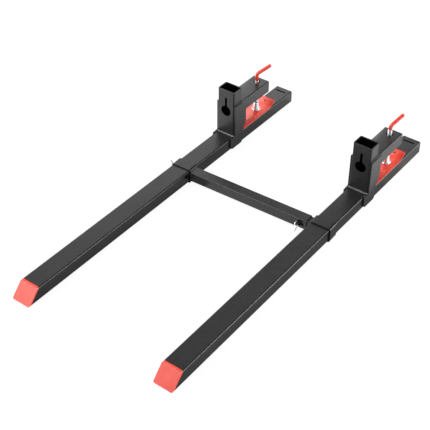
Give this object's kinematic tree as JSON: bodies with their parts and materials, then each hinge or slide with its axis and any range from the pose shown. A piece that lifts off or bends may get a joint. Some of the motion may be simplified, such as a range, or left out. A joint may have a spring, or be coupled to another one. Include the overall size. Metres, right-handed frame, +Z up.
{
  "type": "clamp-on pallet fork pair",
  "caption": "Clamp-on pallet forks for a loader bucket: tube forks with screw clamps, joined by a telescoping stabilizer bar.",
  "frame": {"origin": "middle of the whole pair's outline, on the ground under the collars", "axes": "+Y from the fork tips to the clamps, +X from the left to the right fork, +Z up"},
  "size_m": [0.7131, 1.524, 0.2626],
  "materials": {
    "black_coat": "satin",
    "red_paint": "satin",
    "red_grip": "gloss",
    "zinc": "satin"
  },
  "bodies": {
    "left_fork": {"left_tine": "black_coat", "left_tip_plate": "red_paint", "left_jaw_end_plate": "black_coat", "left_post": "black_coat", "left_arm": "black_coat", "left_arm_end_plate": "black_coat", "left_outer_cheek": "black_coat", "left_inner_cheek": "black_coat", "left_clamp_nut": "zinc"},
    "bar_left": {"left_collar": "black_coat", "bar_outer_tube": "black_coat", "collar_weld_nut": "black_coat", "bar_weld_nut": "black_coat"},
    "bar_right": {"bar_inner_tube": "black_coat", "right_collar": "black_coat"},
    "right_fork": {"right_tine": "black_coat", "right_tip_plate": "red_paint", "right_jaw_end_plate": "black_coat", "right_post": "black_coat", "right_arm": "black_coat", "right_arm_end_plate": "black_coat", "right_outer_cheek": "black_coat", "right_inner_cheek": "black_coat", "right_clamp_nut": "zinc"},
    "collar_screw": {"collar_wing_screw": "zinc"},
    "bar_screw": {"bar_wing_screw": "zinc"},
    "left_shoe": {"left_swivel_foot": "zinc", "left_pressure_plate": "red_paint"},
    "left_screw": {"left_clamp_screw": "zinc", "left_screw_grip": "red_grip"},
    "right_shoe": {"right_swivel_foot": "zinc", "right_pressure_plate": "red_paint"},
    "right_screw": {"right_clamp_screw": "zinc", "right_screw_grip": "red_grip"}
  },
  "joints": [
    {"name": "bar_slide", "type": "slide", "parent": "left_fork", "child": "bar_left", "axis": [0, 1, 0], "range_m": [-0.768, 0.175]},
    {"name": "bar_extend", "type": "slide", "parent": "bar_left", "child": "bar_right", "axis": [0.9991, 0.0419, 0], "range_m": [-0.012, 0.3]},
    {"name": "right_fork_slide", "type": "slide", "parent": "bar_right", "child": "right_fork", "axis": [0, 1, 0], "range_m": [-0.176, 0.769]},
    {"name": "collar_screw_turn", "type": "hinge", "parent": "bar_left", "child": "collar_screw", "pos_m": [-0.32599, 0.09573, 0.03], "axis": [-0.9991, -0.0419, 0], "continuous": true},
    {"name": "bar_screw_turn", "type": "hinge", "parent": "bar_left", "child": "bar_screw", "pos_m": [0.22892, 0.09797, 0.03], "axis": [0.0419, -0.9991, 0], "continuous": true},
    {"name": "left_clamp_lift", "type": "slide", "parent": "left_fork", "child": "left_shoe", "axis": [0, 0, 1], "range_m": [0, 0.04]},
    {"name": "left_screw_turn", "type": "hinge", "parent": "left_shoe", "child": "left_screw", "pos_m": [-0.28353, 0.559, 0.0795], "axis": [0, 0, 1], "range_deg": [-10, 3610]},
    {"name": "right_clamp_lift", "type": "slide", "parent": "right_fork", "child": "right_shoe", "axis": [0, 0, 1], "range_m": [0, 0.04]},
    {"name": "right_screw_turn", "type": "hinge", "parent": "right_shoe", "child": "right_screw", "pos_m": [0.31247, 0.559, 0.0795], "axis": [0, 0, 1], "range_deg": [-10, 3610]}
  ],
  "couplings": [
    {"joint": "right_fork_slide", "follows": "bar_slide", "ratio": -1},
    {"joint": "left_screw_turn", "follows": "left_clamp_lift", "rad_per_m": 1570.8},
    {"joint": "right_screw_turn", "follows": "right_clamp_lift", "rad_per_m": 1570.8}
  ]
}
